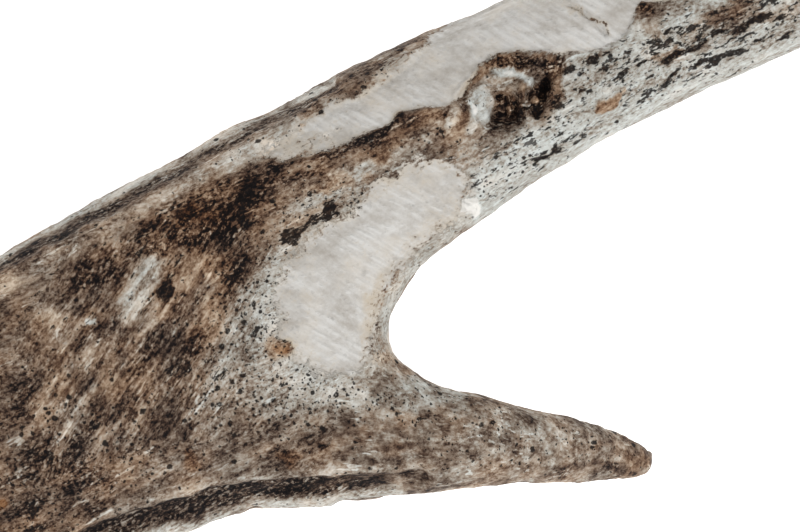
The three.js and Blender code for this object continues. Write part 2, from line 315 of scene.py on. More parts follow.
@dataclass
class Limb:
    """A limb that grew round a curved line, as a tube of rings closed at both ends."""

    name: str
    stations: list[tuple[float, ...]]
    tip_length: float
    sides: int
    spacing: float
    seal_dome: float = 0.0
    reliefs: tuple = ()

    def rings(self, end: float) -> list[tuple[float, float, float]]:
        """Each ring's distance from the start, how much it shrinks, and its push past the end."""
        rings = []
        for angle in (90, 75, 60, 45, 30, 15):
            turn = math.radians(angle)
            dome = -self.seal_dome * math.sin(turn)
            rings.append((0.0, math.cos(turn) if self.seal_dome or angle == 90 else 0.97, dome))
        rings += [(d, 1.0, 0.0) for d in np.arange(0.0, end - 0.4 * self.spacing, self.spacing)]
        for angle in range(0, 91, 10):
            turn = math.radians(angle)
            rings.append((end, math.cos(turn), self.tip_length * math.sin(turn)))
        return rings

    def build(self) -> bmesh.types.BMesh:
        """A closed tube, in millimetres of the finished frame."""
        data = np.array(self.stations, float)
        line, sections = data[:, :3], data[:, 3:]
        reached = np.concatenate([[0], np.cumsum(np.linalg.norm(np.diff(line, axis=0), axis=1))])
        rings = np.array(self.rings(reached[-1]))
        bm = bmesh.new()
        bmesh.ops.create_uvsphere(bm, u_segments=self.sides, v_segments=len(rings) - 1, radius=1)
        ball = np.array([v.co for v in bm.verts])
        row = np.rint(np.arccos(np.clip(ball[:, 2], -1, 1)) / math.pi * (len(rings) - 1))
        d, shrink, push = rings[row.astype(int)].T
        turn = np.arctan2(ball[:, 1], ball[:, 0]) % (2 * math.pi)
        share = np.interp(d, reached, np.linspace(0, 1, len(reached)))
        centre, section = through(line, share), through(sections, share)
        behind = through(line, np.clip(share - 0.002, 0, 1))
        ahead = through(line, np.clip(share + 0.002, 0, 1))
        tangent = (ahead - behind) / np.linalg.norm(ahead - behind, axis=1)[:, None]
        out = sum((r.relief(d, turn) for r in self.reliefs), np.zeros_like(d))
        c, s = np.cos(turn), np.sin(turn)
        flat_c, flat_s = (np.sign(x) * np.abs(x) ** (2 / FLAT_FACE_POWER) for x in (c, s))
        across = facing(np.radians(section[:, 2]) + math.pi / 2)
        points = centre + tangent * push[:, None]
        points += across * ((section[:, 0] * flat_c + out * c) * shrink)[:, None]
        points[:, 2] += (section[:, 1] * flat_s + out * s) * shrink
        for vert, co in zip(bm.verts, plan_to_row(points)):
            vert.co = co
        bmesh.ops.recalc_face_normals(bm, faces=bm.faces)
        LOG.info("%s: %d rings of %d", self.name, len(rings), self.sides)
        return bm


@dataclass(frozen=True)
class Patch:
    """An area of the chart, how wide its edge fades, and how much it lifts what it is used for."""

    outline: tuple[tuple[float, float], ...]
    edge: float
    rise: float = 0.0

    def cover(self, chart: np.ndarray, widened: float = 1.0) -> np.ndarray:
        """1 well inside it, 0 well outside it and between them over its edge."""
        edge = self.edge * widened
        return ease(depth_inside(chart, list(self.outline)), -edge, edge)

    def near(self, chart: np.ndarray, reach: float) -> np.ndarray:
        """1 in it and 0 beyond a distance round it."""
        return ease(depth_inside(chart, list(self.outline)), -reach, 0.0)


@dataclass(frozen=True)
class Line:
    """A line on the chart: a groove, ridge, stain or painted highlight, and how much it lifts the
    skin.
    """

    route: tuple[tuple[float, float], ...]
    half_width: float
    rise: float = 0.0
    edge: float = 3.0

    def cover(self, chart: np.ndarray) -> np.ndarray:
        """1 near the line, 0 away from it and far to the left of the chart."""
        away = distance_to_line(chart, list(self.route))
        near = 1 - ease(away, self.half_width - self.edge, self.half_width + self.edge)
        return near * ease(chart[:, 0], *LINES_BEGIN)


@dataclass(frozen=True)
class Mark:
    """An oval on the chart: its place, half its length and width, its turn, and what it changes."""

    x: float
    y: float
    long: float
    wide: float
    turn: float = 0.0
    tone: float = 0.0
    warm: float = 0.0
    speck: float = 0.0
    dash: float = 0.0
    ink: float = 0.0
    rise: float = 0.0
    gnaw: float = 0.0
    soft: float = 0.4

    def cover(self, chart: np.ndarray) -> np.ndarray:
        """1 in the middle, 0 away from it."""
        off = turned(chart - (self.x, self.y), math.radians(self.turn))
        away = np.hypot(off[:, 0] / self.long, off[:, 1] / self.wide)
        return 1 - ease(away, 1 - self.soft, 1 + self.soft)


UPPER_GNAW = Patch(
    (
        (262, 157), (280, 163), (305, 156), (330, 149), (350, 140), (370, 131), (388, 126),
        (400, 112), (416, 108), (436, 106), (450, 105), (463, 95), (472, 76), (482, 62),
        (497, 52), (520, 50), (560, 53), (590, 51), (610, 45), (627, 32), (634, 17),
        (642, 2), (700, -2), (720, -40), (600, -60), (520, -30), (488, 2), (462, 14),
        (430, 31), (426, 44), (415, 54), (400, 70), (372, 86), (350, 98), (330, 108),
        (305, 126), (282, 140), (264, 149),
    ),
    edge=2.5,
    rise=-0.42,
)
LOWER_GNAW = Patch(
    (
        (440, 160), (418, 163), (398, 172), (380, 180), (360, 196), (345, 212), (325, 224),
        (305, 240), (292, 258), (282, 278), (277, 300), (277, 335), (285, 354), (300, 368),
        (325, 375), (352, 372), (368, 362), (377, 345), (381, 322), (384, 300), (393, 280),
        (408, 262), (422, 248), (444, 232), (462, 212), (470, 196), (470, 180), (460, 166),
    ),
    edge=9.0,
    rise=-0.32,
)
SORE = Patch(
    (
        (457, 96), (468, 78), (484, 62), (497, 55), (522, 56), (550, 52), (564, 55),
        (563, 76), (561, 93), (556, 108), (547, 118), (522, 132), (505, 133), (491, 128),
        (478, 120), (463, 110),
    ),
    edge=3.0,
    rise=-0.55,
)
GROOVES = (
    Line(((-400, 800), (-150, 665), (0, 582), (112, 529), (180, 508), (237, 493), (314, 487),
          (371, 485), (419, 479)), 9, -0.6, 5),
    Line(((-400, 503), (-150, 348), (0, 262), (80, 219), (160, 176), (250, 128), (330, 84)),
         7, -0.4, 5),
    Line(((404, 203), (416, 207), (428, 213), (441, 221), (455, 231)), 1.7, -0.2, 1.6),
    Line(((402, 232), (410, 236), (417, 242)), 1.5, -0.16, 1.4),
    Line(((569, 2), (577, 7), (586, 14), (596, 23), (606, 35)), 1.8, -0.5, 1.7),
    Line(((300, 274), (318, 277), (336, 279), (352, 284)), 1.6, -0.09, 1.6),
    Line(((312, 294), (326, 297), (340, 298), (356, 303)), 1.6, -0.09, 1.6),
    Line(((318, 311), (334, 313), (350, 317)), 1.5, -0.07, 1.5),
    Line(((470, 20), (492, 32), (508, 44)), 1.6, -0.1, 1.6),
    Line(((508, 8), (530, 22), (544, 34)), 1.6, -0.1, 1.6),
)
RIDGES = (
    Line(((-400, 784), (-150, 648), (0, 565), (96, 514), (170, 492), (235, 478), (314, 470),
          (371, 468)), 6, 0.28, 6),
    Line(((-400, 521), (-150, 366), (0, 280), (80, 237), (160, 194), (250, 146), (300, 118)),
         6, 0.2, 6),
    Line(((455, 95), (468, 80), (483, 64), (497, 56), (522, 57), (550, 54)), 3, 0.45, 2.5),
    Line(((400, 118), (420, 112), (448, 111)), 5, 0.25, 4),
    Line(((404, 199), (418, 203), (432, 209), (446, 218), (458, 228)), 3, 0.12, 3),
)
RIMS = (
    # the outer lip of the lower furrow, which stands out sideways
    Line(((60, 556), (110, 545), (160, 531), (200, 516), (240, 507), (280, 505), (330, 502)),
         5, 0.55, 8),
    Line(((130, 540), (200, 516), (238, 508)), 5, 0.7, 13),
)
TONE_LINES = (
    # lighter and darker lines, some of them painted highlights: the rise is how much lighter the
    # skin is
    # painted highlight: the pale side below the lower furrow, lit from the bright table
    Line(((-400, 822), (-150, 688), (0, 606), (150, 532), (205, 515), (255, 507), (330, 501),
          (400, 496)), 6, 0.34, 4),
    # painted highlight along the lower ridge
    Line(((-400, 786), (-150, 650), (0, 567), (96, 516), (170, 494), (235, 480), (314, 473),
          (371, 470)), 4, 0.14, 4),
    # painted highlight along the upper ridge
    Line(((-400, 531), (-150, 376), (0, 290), (80, 246), (160, 202), (250, 153), (290, 128)),
         9, 0.2, 6),
    # painted highlight: the pale rim outside the upper furrow, lit from the bright table
    Line(((-400, 489), (-150, 338), (0, 252), (80, 208), (160, 165), (250, 118), (330, 78)),
         5, 0.34, 3),
    Line(((275, 167), (305, 160), (332, 153), (362, 140), (388, 130), (402, 116)), 3, -0.24, 3),
    Line(((300, 179), (330, 175), (352, 170), (380, 160)), 3, 0.16, 3),
    Line(((458, 96), (470, 80), (484, 66), (496, 58)), 3, -0.1, 2),
    # the pale rim round the fork: pale fibres, with a painted rim highlight over them
    Line(((472, 208), (442, 240), (416, 264), (400, 286), (391, 308), (389, 332), (398, 352)),
         8, 0.34, 5),
)
DARK_LINES = (
    # bluish-black grime in the furrows: the rise is how black it is
    Line(GROOVES[0].route, 10, 0.8, 4),
    Line(GROOVES[1].route, 5, 0.48, 4),
)
SORE_MARKS = (
    Mark(509, 61, 22, 7, tone=-0.2, warm=0.6),
    Mark(538, 61, 11, 6, tone=-0.14, warm=0.4),
    Mark(556, 66, 10, 14, 10, tone=-0.22, warm=0.4, speck=0.4),
    Mark(474, 76, 5, 22, -42, tone=-0.04, warm=0.9),
    Mark(504, 70, 19, 5, -12, tone=0.48, warm=-0.9, rise=-0.35),
    Mark(532, 79, 11, 5, -22, tone=0.42, warm=-0.8, rise=-0.2),
    Mark(502, 80, 19, 6, tone=0.16, warm=0.1, rise=-0.45),
    Mark(512, 88, 14, 6, 10, tone=0.14, warm=0.2),
    Mark(496, 94, 10, 3, -12, tone=-0.18, warm=0.2, rise=-0.4),
    Mark(522, 99, 2.4, 23, -2, tone=-0.1, warm=0.4, rise=0.9),
    Mark(508, 110, 16, 18, 10, tone=-0.34, warm=0.3, ink=0.25, rise=-1.3),
    Mark(497, 121, 9, 8, tone=-0.14, ink=0.2, rise=-0.3),
    Mark(503, 100, 8, 5, tone=-0.12, ink=0.15, rise=-0.3),
    Mark(518, 122, 6, 8, tone=-0.12, ink=0.2, rise=-0.3),
    Mark(511, 112, 1.8, 9, 8, tone=0.34, warm=0.5, ink=-0.5, rise=0.7),
    Mark(516, 103, 2.0, 8, tone=0.12, warm=0.8, ink=-0.3, rise=0.5),
    Mark(503, 101, 4, 3, tone=0.2, warm=0.2, ink=-0.4, rise=0.3),
    Mark(539, 92, 9, 14, -8, tone=-0.28, warm=0.3, ink=0.15, rise=-1.0),
    Mark(546, 90, 4, 18, -6, tone=-0.38, ink=0.45, rise=-0.9),
    Mark(537, 113, 9, 6, 20, tone=-0.38, ink=0.4, rise=-0.7),
    Mark(539, 101, 5, 5, 20, tone=0.42, warm=1.0, ink=-0.9, rise=1.1),
    Mark(528, 108, 4, 1.6, tone=0.5, warm=0.0, ink=-0.5, rise=0.6),
    Mark(529, 119, 5, 6, 30, tone=0.34, warm=0.3, ink=-0.4, rise=0.5),
    Mark(555, 95, 8, 15, tone=-0.12, warm=0.3, speck=0.5),
    Mark(484, 104, 11, 19, 12, tone=0.38, warm=-0.5, rise=-0.1, gnaw=0.25),
    Mark(452, 119, 5, 12, -28, tone=0.42, warm=-0.2, rise=0.3),
    Mark(474, 119, 4, 15, -8, tone=0.3, warm=-0.1, rise=0.25),
    Mark(464, 118, 6, 11, -10, tone=-0.08, warm=0.4),
    Mark(442, 134, 3, 3, ink=0.9),
    Mark(468, 132, 22, 14, 12, tone=0.06, warm=0.3),
    Mark(530, 140, 40, 12, 26, tone=0.1, warm=-0.1),
)
SORE_RIBS = tuple(
    Mark(487 + 4.6 * i, 60 + 0.3 * i, 1.4, 7, -6 + i, tone=-0.22, rise=-0.3) for i in range(12)
)
BARK_MARKS = (
    Mark(240, 230, 17, 48, -10, tone=-0.18, speck=0.3),
    Mark(250, 200, 10, 24, -10, tone=-0.1, ink=0.5),
    Mark(242, 222, 12, 16, -10, tone=-0.06, ink=0.35),
    Mark(234, 256, 9, 26, -18, tone=-0.06, ink=0.3),
    Mark(264, 182, 26, 11, 25, tone=-0.18),
    Mark(222, 200, 46, 22, 25, tone=-0.14, warm=0.55),
    Mark(190, 228, 50, 22, 20, tone=-0.2, warm=0.75),
    Mark(74, 230, 44, 7, 28, tone=0.07, warm=-0.8),
    Mark(170, 215, 34, 16, 25, tone=-0.1, ink=0.2),
    Mark(150, 240, 26, 14, 30, tone=-0.06, ink=0.2),
    Mark(214, 262, 18, 16, tone=0.03, warm=0.5),
    Mark(118, 236, 60, 14, 28, tone=-0.08),
    Mark(222, 296, 10, 34, -30, tone=-0.08, warm=0.4),
    Mark(110, 265, 26, 12, 40, tone=-0.16),
    Mark(92, 268, 16, 24, -30, tone=-0.12),
    Mark(142, 284, 14, 36, -35, tone=0.28, warm=-0.2),
    Mark(128, 314, 12, 24, -38, tone=0.14),
    Mark(156, 268, 12, 10, tone=0.12),
    Mark(196, 268, 18, 22, -20, tone=0.08, warm=0.3),
    Mark(60, 300, 30, 26, tone=0.06),
    Mark(40, 340, 24, 40, -30, tone=0.05),
    Mark(168, 290, 6, 11, -8, tone=-0.3, ink=0.9),
    Mark(169, 272, 3, 10, 5, tone=-0.12, warm=0.3),
    Mark(182, 297, 6, 4, tone=-0.2, ink=0.7),
    Mark(150, 350, 7, 60, -35, tone=-0.12),
    Mark(112, 372, 7, 56, -35, tone=-0.12),
    Mark(186, 352, 7, 46, -30, tone=-0.1, warm=0.2),
    Mark(80, 350, 6, 50, -35, tone=-0.08),
    Mark(130, 350, 5, 50, -35, tone=0.12),
    Mark(100, 340, 5, 40, -35, tone=0.08),
    Mark(168, 372, 6, 44, -32, tone=0.08),
    Mark(60, 470, 60, 50, tone=-0.09, warm=-0.3),
    Mark(152, 330, 5, 44, -35, tone=0.12, warm=0.4),
    Mark(96, 388, 5, 44, -35, tone=0.14, warm=0.2),
    Mark(70, 372, 4, 40, -35, tone=0.1),
    Mark(200, 318, 5, 36, -32, tone=0.08, warm=0.5),
    Mark(20, 350, 14, 26, -30, tone=0.1, warm=0.2),
    Mark(60, 318, 16, 14, -20, tone=0.12, warm=0.2),
    Mark(20, 400, 12, 30, -35, tone=-0.08),
    Mark(140, 410, 10, 50, -35, tone=-0.07),
    Mark(40, 435, 40, 10, 20, tone=0.08),
    Mark(90, 480, 26, 12, 10, tone=-0.1),
    Mark(20, 500, 16, 20, tone=-0.06),
    Mark(150, 470, 30, 10, 10, tone=0.06),
    Mark(240, 450, 70, 8, 5, tone=-0.05),
    Mark(380, 430, 60, 8, tone=-0.07),
    Mark(110, 440, 30, 14, 20, tone=0.07),
    Mark(70, 410, 18, 12, tone=0.12, warm=-0.3),
    Mark(245, 300, 36, 44, tone=0.04, speck=0.4),
    Mark(255, 350, 40, 46, -20, tone=0.04, warm=-0.1, speck=0.4),
    Mark(215, 372, 34, 36, -30, tone=0.02, speck=0.3),
    Mark(300, 395, 60, 24, tone=0.03, warm=-0.2, speck=0.3),
    Mark(320, 182, 40, 9, 14, tone=0.12),
    Mark(410, 140, 40, 9, 20, tone=0.12),
    Mark(300, 205, 22, 10, 30, tone=0.12),
    Mark(330, 192, 44, 9, 26, tone=0.14, warm=-0.5),
    Mark(392, 164, 34, 10, 20, tone=0.16, warm=-0.5),
    Mark(316, 120, 62, 8, 27, tone=0.14, warm=0.1, speck=0.35, gnaw=0.26),
    Mark(300, 144, 42, 14, 22, tone=0.2, warm=0.2, speck=0.4, gnaw=-0.34),
    Mark(344, 122, 30, 12, 27, tone=0.3, warm=-0.1, speck=0.15, gnaw=-0.16),
    Mark(396, 66, 30, 7, 30, tone=0.16, speck=0.2, gnaw=0.34),
    Mark(362, 152, 34, 6, 20, tone=0.14),
    Mark(200, 350, 11, 9, 20, tone=-0.2),
    Mark(176, 370, 12, 9, tone=0.0, ink=0.5),
    Mark(220, 372, 9, 5, 10, ink=0.5),
    Mark(252, 330, 5, 6, ink=0.7),
    Mark(330, 400, 60, 18, tone=0.03),
    Mark(328, 213, 6, 10, -30, tone=-0.2, ink=1.0),
    Mark(291, 238, 11, 8, 50, tone=-0.2, ink=0.9),
    Mark(306, 226, 18, 5, 25, tone=-0.16, ink=0.7),
    Mark(334, 184, 20, 8, 12, tone=-0.08, warm=0.9, soft=0.5),
    Mark(372, 180, 14, 4, 12, tone=-0.1, warm=0.3),
    Mark(340, 160, 56, 8, 20, tone=-0.13),
    Mark(334, 152, 10, 4, 20, tone=-0.1, ink=0.7),
    Mark(385, 146, 20, 9, 25, tone=-0.14, warm=0.2),
    Mark(372, 142, 9, 5, 30, tone=-0.1, ink=0.6),
    Mark(404, 122, 12, 10, 20, tone=-0.1, warm=0.4),
    Mark(432, 118, 22, 8, tone=-0.12, warm=0.5),
    Mark(443, 130, 10, 7, 40, tone=0.05),
    Mark(420, 144, 22, 8, 15, tone=0.06, speck=0.3),
    Mark(448, 157, 5, 5, 20, tone=-0.2, ink=0.7),
    Mark(378, 168, 16, 4, 18, tone=-0.1, ink=0.3),
    Mark(320, 98, 24, 6, 33, tone=-0.18, ink=0.2),
    Mark(372, 64, 26, 5, 30, tone=-0.14, ink=0.15),
    Mark(406, 44, 14, 5, 28, tone=-0.2, ink=0.45, warm=0.2),
    Mark(350, 86, 14, 5, 30, tone=-0.1, warm=0.2),
    Mark(372, 84, 20, 6, 30, tone=0.14, warm=0.1),
    Mark(390, 80, 14, 8, tone=0.14),
    Mark(660, 110, 130, 10, 26, tone=0.06, warm=-0.2, dash=-0.25),
    Mark(560, 150, 60, 18, 26, dash=0.1),
    Mark(500, 170, 50, 18, 30, speck=0.2, dash=0.05),
    Mark(728, 12, 26, 12, 22, tone=-0.26, warm=0.6, dash=0.2),
    Mark(778, 12, 30, 9, 22, tone=-0.25, warm=0.5),
    Mark(690, 52, 26, 6, 26, tone=-0.22, warm=0.5),
    Mark(664, 57, 18, 5, 20, tone=-0.24, warm=0.8),
    Mark(672, 37, 28, 9, 20, tone=-0.1, warm=0.2, dash=0.22),
    Mark(469, 203, 7, 5, 45, tone=0.75, warm=-0.2, rise=0.5),
    Mark(268, 146, 14, 8, 30, tone=0.06, warm=0.3),
    Mark(520, 440, 150, 40, 12, tone=0.03),
    # a browner band inside the fork's pale rim: painted shade where the skin turns away
    Mark(374, 310, 8, 40, -12, warm=0.7),
    Mark(470, 190, 16, 10, 30, tone=0.1),
    Mark(608, 102, 15, 7, 28, tone=-0.26, warm=2.2, dash=-0.6, rise=0.3, soft=0.2),
    Mark(611, 467, 18, 6, tone=-0.18, ink=0.35),
    Mark(641, 461, 12, 10, tone=-0.04, warm=0.7),
    Mark(532, 432, 18, 7, 10, tone=0.12, warm=-0.2),
    Mark(490, 446, 9, 5, tone=-0.12, ink=0.3),
    Mark(400, 452, 22, 8, 10, tone=-0.1, warm=0.5),
    Mark(560, 470, 14, 5, tone=-0.1, ink=0.2),
    Mark(452, 436, 10, 5, tone=0.1),
    Mark(575, 440, 12, 5, -14, tone=0.08),
    Mark(480, 402, 8, 4, -10, tone=-0.12, ink=0.2),
    Mark(422, 415, 8, 4, tone=-0.1, ink=0.7),
    Mark(491, 418, 8, 4, tone=-0.1, ink=0.6),
    Mark(598, 447, 6, 5, -30, tone=-0.16, ink=0.7),
    Mark(422, 474, 5, 9, tone=-0.12, ink=0.3),
    Mark(360, 442, 8, 4, 20, tone=-0.12, ink=0.6),
    Mark(318, 447, 7, 4, tone=-0.12, ink=0.5),
    Mark(300, 404, 6, 4, ink=0.6),
    Mark(290, 452, 60, 12, tone=-0.05, warm=0.2),
    Mark(281, 348, 14, 12, -20, tone=-0.2, warm=1.9, gnaw=-0.6, soft=0.7),
    Mark(193, 460, 8, 10, tone=-0.06, warm=1.4),
    Mark(288, 457, 16, 8, tone=-0.06, warm=1.3),
    Mark(2, 506, 6, 8, warm=2.0),
    Mark(30, 451, 9, 6, tone=-0.1, ink=0.6),
    Mark(48, 461, 11, 7, tone=-0.12, ink=0.7),
    Mark(28, 477, 8, 6, tone=-0.1, ink=0.6),
    Mark(38, 506, 8, 6, tone=-0.1, ink=0.8),
    Mark(35, 526, 14, 7, tone=-0.1, ink=0.8),
    Mark(79, 450, 7, 5, tone=-0.1, ink=0.4),
    Mark(91, 423, 7, 8, tone=-0.1, ink=0.6),
    Mark(118, 509, 8, 6, tone=-0.1, ink=0.5),
    Mark(60, 492, 26, 8, tone=0.1),
    Mark(90, 319, 5, 4, tone=0.4, warm=-1.0),
    Mark(386, 366, 18, 8, -30, tone=0.06, warm=0.4),
    Mark(430, 392, 50, 14, 5, tone=0.13, warm=-0.9),
    Mark(520, 430, 120, 24, 12, tone=0.07),
    Mark(648, 10, 8, 5, 20, tone=-0.25, warm=0.7, gnaw=-0.9, rise=0.3),
    Mark(575, 8, 8, 4, -38, tone=-0.05, warm=0.6, gnaw=-0.35),
    Mark(597, 25, 16, 2.2, -42, tone=-0.1, warm=0.5, gnaw=-0.8, soft=0.7),
    Mark(651, 22, 15, 15, tone=-0.18, warm=0.5, dash=0.15),
    Mark(684, 20, 18, 9, 22, tone=0.08, warm=-0.2),
)
AREAS = (
    # broad areas with many pits or dashes
    Mark(250, 330, 50, 80, -12, speck=0.55),
    Mark(300, 400, 110, 30, speck=0.45),
    Mark(60, 460, 90, 80, speck=0.65),
    Mark(430, 400, 70, 26, speck=0.4),
    Mark(520, 440, 110, 28, speck=0.25),
    Mark(320, 215, 60, 26, 25, speck=0.45, dash=0.3),
    Mark(350, 95, 60, 10, 30, speck=0.35),
    Mark(180, 420, 80, 40, speck=0.25),
    Mark(650, 70, 200, 44, 26, dash=0.42, speck=0.05),
    Mark(730, 36, 130, 34, 26, dash=0.15),
    Mark(725, 18, 44, 14, 24, tone=-0.08, warm=0.5),
    Mark(606, 60, 56, 8, 17, dash=0.25),
    Mark(610, 116, 70, 14, 26, tone=0.05, warm=-0.2),
    Mark(500, 180, 80, 30, 28, dash=0.25),
    Mark(130, 330, 170, 130, dash=0.25),
)
INK_DASHES = (
    # x, y, half length, half width, turn
    (570, 68, 6, 4, 20), (593, 58, 8, 3, 26), (609, 50, 5, 2, 26), (625, 74, 5, 3, 30),
    (695, 45, 12, 3, 26), (672, 56, 11, 2, 26), (672, 76, 11, 2, 26), (720, 58, 26, 2.5, 20),
    (750, 22, 24, 2.5, 26), (762, 41, 6, 2.5, 26), (786, 35, 8, 2, 26), (640, 60, 6, 1.5, 26),
    (556, 146, 6, 5, 30), (541, 156, 9, 3, 26), (736, 74, 12, 1, 26), (604, 68, 6, 1.5, 26),
    (582, 92, 5, 2, 26), (720, 34, 8, 1.5, 26), (560, 108, 5, 3, 20), (776, 18, 8, 2, 26),
)
STREAKED = Patch(((70, 250), (250, 205), (262, 300), (215, 440), (40, 470), (20, 330)), edge=25.0)
TONE_PATCHES = (
    # broad areas: the rise is how much lighter the skin is
    Patch(((262, 262), (236, 300), (215, 340), (190, 385), (215, 410), (270, 416), (330, 408),
           (385, 396), (400, 378), (377, 345), (285, 354), (277, 300), (292, 258)), 14.0, 0.09),
    Patch(((560, 60), (600, 38), (650, 14), (720, -20), (860, -20), (860, 60), (700, 130),
           (600, 160), (540, 200), (470, 240), (470, 170), (530, 134), (556, 110)), 8.0, 0.28),
    Patch(((390, 180), (440, 160), (500, 134), (540, 140), (470, 230), (440, 240)), 12.0, 0.08),
)
PATCH_WARMTHS = (-0.1, -0.75, 0.0)  # how much warmer the skin is in each of them
TINE_AREA = Patch(
    ((330, 400), (372, 376), (400, 358), (440, 380), (700, 430), (700, 520), (420, 500), (330, 476)),
    edge=10.0,
)
BROWN_AREA = Patch(
    (
        (-360, 450), (60, 226), (120, 196), (200, 172), (262, 158), (292, 168), (330, 160),
        (385, 138), (410, 114), (452, 108), (470, 112), (466, 130), (440, 152), (398, 168),
        (352, 196), (320, 214), (296, 236), (262, 262), (236, 290), (222, 330), (205, 380),
        (180, 420), (140, 470), (90, 540), (-300, 760),
    ),
    edge=9.0,
)


@dataclass
class Antler:
    """The whole antler: three limbs grown into one closed skin, worn, gnawed, stained and painted
    with light.
    """

    voxel: float = 0.86
    window_cuts: int = 3
    window_smooths: int = 8
    window_slope: float = 0.02
    fork_smooths: int = 45
    bulge_smooths: int = 14
    limbs: list[Limb] = field(
        default_factory=lambda: [
            Limb("beam", BEAM, 3.4, 150, 0.7, seal_dome=2.2, reliefs=BEAM_RELIEF),
            Limb("front tine", FRONT_TINE, 2.8, 64, 0.6),
            Limb("rear tine", REAR_TINE, 2.8, 56, 0.6),
        ]
    )
    fork_lines: tuple = (
        ([(0.5, 0.0), (-1.3, -6.0), (-4.9, -12.1), (-11.5, -15.5), (-20.0, -14.0)], 8.0),
        ([(53.2, 44.8), (47.0, 41.0), (41.0, 41.0)], 6.0),
    )

    def build(self) -> bpy.types.Object:
        """The finished skin, in metres, with the values that its material reads."""
        mesh = self.grown_together()
        bm = bmesh.new()
        bm.from_mesh(mesh)
        self.smooth_forks(bm)
        self.refine_window(bm)
        bm.to_mesh(mesh)
        bm.free()
        mesh.update()
        points, normals = (np.empty(len(mesh.vertices) * 3) for _ in range(2))
        mesh.vertices.foreach_get("co", points)
        mesh.vertices.foreach_get("normal", normals)
        points, normals = points.reshape(-1, 3), normals.reshape(-1, 3)
        skin = Weathering(points, normals, self.bulge(mesh, points, normals))
        for kind, values in skin.values.items():
            layer = mesh.attributes.new(kind.value, "FLOAT", "POINT")
            layer.data.foreach_set("value", values.astype(np.float32))
        points = points + normals * skin.rise[:, None]
        points[:, 2] = np.maximum(points[:, 2], 0.0)
        mesh.vertices.foreach_set("co", (points * MM).ravel())
        mesh.update()
        mesh.polygons.foreach_set("use_smooth", [True] * len(mesh.polygons))
        antler = bpy.data.objects.new("antler_skin", mesh)
        bpy.context.scene.collection.objects.link(antler)
        triangles = sum(len(p.vertices) - 2 for p in mesh.polygons)
        LOG.info("antler_skin: %d points, %d triangles", len(mesh.vertices), triangles)
        return antler

    def bulge(
        self, mesh: bpy.types.Mesh, points: np.ndarray, normals: np.ndarray
    ) -> np.ndarray:
        """How far each point stands out from the smoothed skin round it."""
        edges = np.empty(len(mesh.edges) * 2, np.int32)
        mesh.edges.foreach_get("vertices", edges)
        a, b = edges.reshape(-1, 2).T
        count = len(points)
        neighbours = np.bincount(a, minlength=count) + np.bincount(b, minlength=count)
        smooth = points
        for _ in range(self.bulge_smooths):
            sums = [
                np.bincount(a, smooth[b, k], count) + np.bincount(b, smooth[a, k], count)
                for k in range(3)
            ]
            smooth = np.column_stack(sums) / neighbours[:, None]
        return ((points - smooth) * normals).sum(axis=1)

    def grown_together(self) -> bpy.types.Mesh:
        """The limbs as one closed mesh of even faces."""
        bm = bmesh.new()
        for limb in self.limbs:
            part = limb.build()
            mesh = bpy.data.meshes.new(limb.name)
            part.to_mesh(mesh)
            part.free()
            bm.from_mesh(mesh)
            bpy.data.meshes.remove(mesh)
        whole = bpy.data.meshes.new("antler")
        bm.to_mesh(whole)
        bm.free()
        source = bpy.data.objects.new("limbs", whole)
        bpy.context.scene.collection.objects.link(source)
        remesh = source.modifiers.new("grow together", "REMESH")
        remesh.mode = "VOXEL"
        remesh.voxel_size = self.voxel
        shown = source.evaluated_get(bpy.context.evaluated_depsgraph_get())
        mesh = bpy.data.meshes.new_from_object(shown)
        bpy.data.objects.remove(source)
        return mesh

    def smooth_forks(self, bm: bmesh.types.BMesh) -> None:
        """Rounds the creases where limbs meet."""
        plan = turned(np.array([v.co[:2] for v in bm.verts]) + BOX_MIDDLE, BEAM_LEAN)
        for line, reach in self.fork_lines:
            away = distance_to_line(plan, line)
            verts = [v for v, a in zip(bm.verts, away) if a < reach]
            self.smooth(bm, verts, self.fork_smooths)

    def refine_window(self, bm: bmesh.types.BMesh) -> None:
        """Gives the upper side that the camera sees finer faces."""
        bm.normal_update()
        shown = self.in_window([f.calc_center_median() for f in bm.faces])
        faces = [f for f, s in zip(bm.faces, shown) if s and f.normal.z > self.window_slope]
        edges = list({e for f in faces for e in f.edges})
        bmesh.ops.subdivide_edges(bm, edges=edges, cuts=self.window_cuts, use_grid_fill=True)
        shown = self.in_window([v.co for v in bm.verts])
        self.smooth(bm, [v for v, s in zip(bm.verts, shown) if s], self.window_smooths)

    @staticmethod
    def in_window(places: list[Vector]) -> np.ndarray:
        """Whether places of the finished frame are on the chart or just past its border."""
        chart = row_to_chart(np.array(places))
        low, high = -CHART_MARGIN, np.array(CHART_SIZE) + CHART_MARGIN
        return ((chart > low) & (chart < high)).all(axis=1)

    @staticmethod
    def smooth(bm: bmesh.types.BMesh, verts: list[bmesh.types.BMVert], passes: int) -> None:
        """Smooths some of the points, as many times as passes says."""
        for _ in range(passes):
            bmesh.ops.smooth_vert(
                bm, verts=verts, factor=0.5, use_axis_x=True, use_axis_y=True, use_axis_z=True
            )


